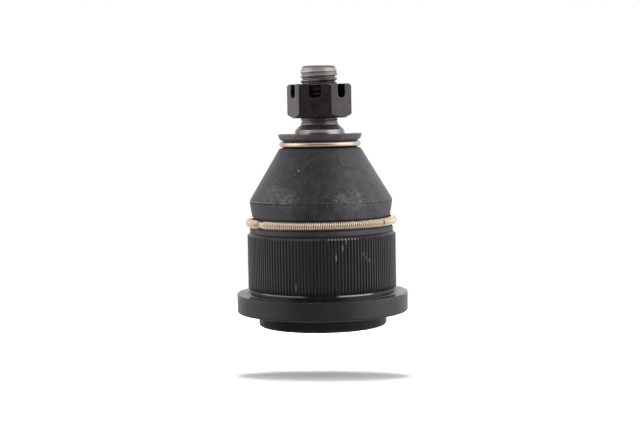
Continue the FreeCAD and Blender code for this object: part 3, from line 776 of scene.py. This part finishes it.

# Painted shade between the turns, stained and dull on the left, and painted shade in one wider gap between
# turns on the right
colour = mixed(tree, ramp(tree, edge_mask(tree), 0.65, 0.25), colour, (0.14, 0.085, 0.055, 1))
stain = times(tree, near(tree, [(-21.2, -12.2, 33.0)], 1.1), 0.5)
colour = mixed(tree, stain, colour, (0.36, 0.2, 0.12, 1))
dull_left = ramp(tree, axes(tree)[0], -17.5, -22.0, 0.0, 0.35)
colour = mixed(tree, dull_left, colour, (0.5, 0.34, 0.24, 1))
painted_gap_shade = near(tree, [(19.6, -13.75, garter_height)], 0.4, stretch=(1.0, 1.0, 0.2))
colour = mixed(tree, painted_gap_shade, colour, (0.07, 0.045, 0.035, 1))
surface(tree, colour, ramp(tree, fine, 0.3, 0.7, 0.26, 0.4), fine, 0.006, metallic=0.92)
garter.data.materials.append(yellow_zinc)

# Slotted nut. Forged hexagon with a chamfer at both ends and a round-floored slot in the middle of
# each flat for a locking pin, blackened. It is run onto the thread to draw the taper into its arm.
nut_bottom = 66.3
nut_top = 77.1
nut_apothem = 9.0
nut_bore = 6.0
slot_half = 1.95


def slotted_hexagon(corner=0.22, edge=0.13):
    """One side of the nut, and five copies turned by 60 degrees. The columns go along the flat and round
    the corner, and the rows follow the nut's section from the bore under it, up outside, over the top
    and down the bore. The chamfers cut the hexagon at the height where their cone meets it. In the
    columns of the slot the section stops at the slot's floor, a flattened arc, and one column at each
    side of the slot, set in by the edge's width, makes the slot's wall and its broken edges."""
    half = (nut_apothem - corner) * math.tan(math.radians(30))
    slot = slot_half * np.sin(np.radians(np.linspace(-90, 90, 15)))
    land = np.concatenate([[slot_half + edge], np.linspace(slot_half + 0.5, half, 6)])
    bend = np.radians(np.linspace(5, 30, 5))
    corner_x = nut_apothem - corner + corner * np.cos(bend)
    corner_y = half + corner * np.sin(bend)
    y = np.concatenate([-corner_y[-2::-1], -land[::-1], [-slot_half], slot, [slot_half], land, corner_y])
    flat = np.full(len(land), nut_apothem)
    x = np.concatenate([corner_x[-2::-1], flat, np.full(len(slot) + 2, nut_apothem), flat, corner_x])
    in_slot = np.zeros(len(y), bool)
    start = len(bend) - 1 + len(land) + 1
    in_slot[start:start + len(slot)] = True
    at_wall = np.zeros(len(y), bool)
    at_wall[[start - 1, start + len(slot)]] = True
    reach = np.hypot(x, y)
    wall = np.where(at_wall, edge, 0.0)
    outer = np.arctan2(y, x)
    gap = math.asin(slot_half / nut_bore)
    along = np.clip((np.abs(y) - slot_half) / (half + corner * 0.5 - slot_half), 0, 1)
    inner = np.sign(y) * (gap + (math.radians(30) - gap) * along)
    inner = np.where(in_slot | at_wall, np.arcsin(np.clip(y / nut_bore, -1, 1)), inner)
    inner_wide = np.where(in_slot | at_wall, np.arcsin(np.clip(y / (nut_bore + 0.5), -1, 1)), inner)
    low = np.maximum((reach - 8.39) * 0.6, 0.1)
    drop = np.maximum(edge, 0.7 - (10.39 - reach))
    floor = slot_centre - 0.1 - slot_half * np.clip(1 - np.abs(y / slot_half) ** 3, 0, None) ** (1 / 3)
    top = nut_top - wall

    def row(radius, direction, height):
        flat_row = [radius * np.cos(direction), radius * np.sin(direction), height + 0 * y]
        return np.stack(flat_row, -1)

    def blend_row(share, height):
        """A point of the slot's floor, at this share of the way from the flat to the bore."""
        inside = np.sqrt(nut_bore**2 - np.clip(np.abs(y), 0, slot_half) ** 2)
        return np.stack([nut_apothem + (inside - nut_apothem) * share, y, height + 0 * y], -1)

    pick = in_slot[:, None]
    rows = [
        row(nut_bore + 0 * y, inner, nut_bottom + 0.5),
        row(nut_bore + 0.5 + 0 * y, inner_wide, nut_bottom),
        row(8.36 + 0 * y, outer, nut_bottom),
        row(8.39 + 0 * y, outer, nut_bottom + 0.01),
        row(reach, outer, nut_bottom + low),
        row(reach, outer, nut_bottom + low + 0.06),
        row(reach, outer, np.where(in_slot, floor, slot_centre)),
        np.where(pick, blend_row(0.04, floor), row(reach - wall, outer, nut_top - drop - 0.02 - wall)),
        np.where(pick, blend_row(0.12, floor), row(reach - drop - wall, outer, top)),
        np.where(pick, blend_row(0.9, floor), row(nut_bore + 0.5 + 0 * y, inner_wide, top)),
        np.where(pick, blend_row(0.96, floor), row(nut_bore + wall, inner, nut_top - 0.5)),
        np.where(pick, blend_row(1.0, floor), row(nut_bore + 0 * y, inner, slot_centre)),
        row(nut_bore + 0 * y, inner, nut_bottom + 2.0),
    ]
    side = np.stack(rows)
    broken = np.zeros(side.shape[:2])
    broken[[3, 4, 7, 8]] = 0.7
    broken[4:9] = np.maximum(broken[4:9], np.where(np.abs(y) > half - 0.05, 1.0, 0.0))
    beside_slot = at_wall | (np.abs(np.abs(y) - slot_half - edge) < 0.01)
    broken[6:11] = np.maximum(broken[6:11], np.where(beside_slot, 0.8, 0.0))
    turns = [math.radians(nut_turn + 60 * side_number) for side_number in range(6)]
    whole = [
        np.stack([
            side[..., 0] * math.cos(a) - side[..., 1] * math.sin(a),
            side[..., 0] * math.sin(a) + side[..., 1] * math.cos(a),
            side[..., 2],
        ], -1)
        for a in turns
    ]
    return np.concatenate(whole, 1), np.concatenate([broken] * 6, 1), True


nut = piece(
    "slotted_nut", "stud", "nut_black", slotted_hexagon(), stands_for="castle_nut",
)
nut.data.set_sharp_from_angle(angle=math.radians(25))

# Blackened steel of the nut: a dark oxide that still shines like metal, rubbed along its edges, with
# a little brown grime and marks of the wrench on the flats, painted shade on the front flat and in the
# slots and bore, and a left flat painted lighter as side light
black_oxide, tree = material("black_oxide")
x, y, z = axes(tree)
mottle = noise(tree, place_in_mm(tree), 0.45, 5.0, 0.6)
grain = noise(tree, place_in_mm(tree), 4.0, 3.0, 0.6)
colour = mixed(tree, ramp(tree, mottle, 0.3, 0.7), (0.066, 0.058, 0.057, 1), (0.097, 0.087, 0.086, 1))
marks = use(tree, scuffs, Size=0.22, Amount=0.6)["Mask"]
colour = mixed(tree, marks, colour, (0.04, 0.034, 0.032, 1))
# Painted shade on the front flat, and the left flat painted lighter as side light
colour = mixed(tree, ramp(tree, y, -7.6, -8.4, 0.0, 0.45), colour, (0.052, 0.043, 0.04, 1))
colour = mixed(tree, ramp(tree, x, -6.6, -7.6, 0.0, 0.5), colour, (0.125, 0.115, 0.117, 1))
grime = near(tree, [(-4.0, -8.6, 76.0), (-3.3, -8.8, 73.6)], 2.2)
grime = times(tree, grime, ramp(tree, grain, 0.45, 0.6, 0.1, 0.7))
colour = mixed(tree, grime, colour, (0.1, 0.072, 0.058, 1))
rub = use(tree, edge_wear, Amount=0.8, Grain=1.3)["Mask"]
colour = mixed(tree, rub, colour, (0.13, 0.118, 0.114, 1))
# Painted shade in the slots and the bore
in_slot = ramp(tree, from_axis(tree), 8.75, 8.95, 1.0, 0.0)
in_slot = times(tree, in_slot, ramp(tree, z, 76.85, 77.0, 1.0, 0.0))
colour = mixed(tree, in_slot, colour, (0.012, 0.0095, 0.0085, 1))
relief = plus(tree, times(tree, grain, 0.5), mottle)
surface(tree, colour, ramp(tree, mottle, 0.25, 0.75, 0.34, 0.48), relief, 0.02, metallic=0.9)
nut.data.materials.append(black_oxide)

# Studio. The joint hangs over a white floor that falls away to the back. White all round, with a dark
# gap in front where the camera stands, a tall soft light on each side and one overhead.
floor_height = -16.3
floor_lean = math.tan(math.radians(7.0))
floor_roll = math.tan(math.radians(1.0))
floor_mesh = bpy.data.meshes.new("studio_floor")
floor_corners = [(-3, -3), (3, -3), (3, 3), (-3, 3)]
floor_points = [(x, y, floor_height * mm - floor_lean * y - floor_roll * x) for x, y in floor_corners]
floor_mesh.from_pydata(floor_points, [], [(0, 1, 2, 3)])
floor = bpy.data.objects.new("studio_floor", floor_mesh)
bpy.context.scene.collection.objects.link(floor)
floor.visible_glossy = False
paper, tree = material("white_paper")
rays = lay(tree, "LightPath").outputs
lit = lay(tree, "BsdfDiffuse", {"Color": (0.86, 0.86, 0.86, 1)}).outputs[0]
from_joint = lay(tree, "VectorMath", {0: place_in_mm(tree)}, operation="LENGTH").outputs["Value"]
far_off = ramp(tree, from_joint, 30.0, 110.0, 0.0, 0.8)
lift = lay(tree, "Emission", {"Color": (1, 1, 1, 1), "Strength": far_off}).outputs[0]
pale = lay(tree, "BsdfDiffuse", {"Color": (1.08, 1.08, 1.09, 1)}).outputs[0]
shown = lay(tree, "AddShader", {0: pale, 1: lift}).outputs[0]
either = lay(tree, "MixShader", {0: rays["Is Camera Ray"], 1: lit, 2: shown}).outputs[0]
below = lay(tree, "NewGeometry").outputs["Backfacing"]
clear = lay(tree, "BsdfTransparent").outputs[0]
lay(tree, "OutputMaterial", {0: lay(tree, "MixShader", {0: below, 1: either, 2: clear}).outputs[0]})
floor.data.materials.append(paper)

world = bpy.data.worlds.new("studio")
world.use_nodes = True
bpy.context.scene.world = world
tree = world.node_tree
tree.nodes.clear()
rays = lay(tree, "LightPath").outputs
x, y, z = lay(tree, "SeparateXYZ", {0: lay(tree, "TexCoord").outputs["Generated"]}).outputs
sideways = reckon(tree, "POWER", reckon(tree, "DIVIDE", reckon(tree, "ADD", x, 0.06), 0.85), 2.0)
upwards = reckon(tree, "POWER", reckon(tree, "DIVIDE", z, 0.45), 2.0)
spread = reckon(tree, "SQRT", reckon(tree, "ADD", sideways, upwards))
open_front = ramp(tree, spread, 0.55, 1.45, 0.05, 0.76)
around = most(tree, open_front, ramp(tree, y, -0.3, 0.1))
shine = times(tree, around, rays["Is Glossy Ray"])
seen = most(tree, rays["Is Camera Ray"], rays["Is Transmission Ray"])
level = most(tree, seen, shine, times(tree, rays["Is Diffuse Ray"], 0.6))
backdrop = lay(tree, "Background", {"Color": (1, 1, 1, 1), "Strength": level}).outputs[0]
lay(tree, "OutputWorld", {0: backdrop})


def soft_light(name, place, target, size, power):
    """A square lamp that faces a point."""
    lamp = bpy.data.lights.new(name, "AREA")
    lamp.shape, lamp.size, lamp.size_y, lamp.energy = "RECTANGLE", size[0], size[1], power
    held = bpy.data.objects.new(name, lamp)
    bpy.context.scene.collection.objects.link(held)
    held.location = place
    held.rotation_euler = (held.location - Vector(target)).to_track_quat("Z", "Y").to_euler()


middle = (0, 0, 0.04)
soft_light("soft_right", (0.75, -0.25, 0.25), middle, (0.9, 0.9), 2.6)
soft_light("soft_left", (-0.8, -0.1, 0.25), middle, (0.9, 0.9), 2.0)
soft_light("soft_top", (0.0, 0.35, 0.75), middle, (0.16, 0.65), 6.2)

# Camera. At the height of the boot's lip and looking slightly down, turned by a degree, with the lens
# that puts the joint in the frame as the photograph does.
camera = bpy.data.cameras.new("camera")
camera.lens = 79.09
camera.sensor_width = 36.0
viewer = bpy.data.objects.new("camera", camera)
bpy.context.scene.collection.objects.link(viewer)
viewer.location = (0.0002, -0.45, 0.068)
viewer.rotation_euler = (math.radians(90 - 4.104), math.radians(1.0), 0.0)
bpy.context.scene.camera = viewer
bpy.context.scene.view_settings.view_transform = "Standard"
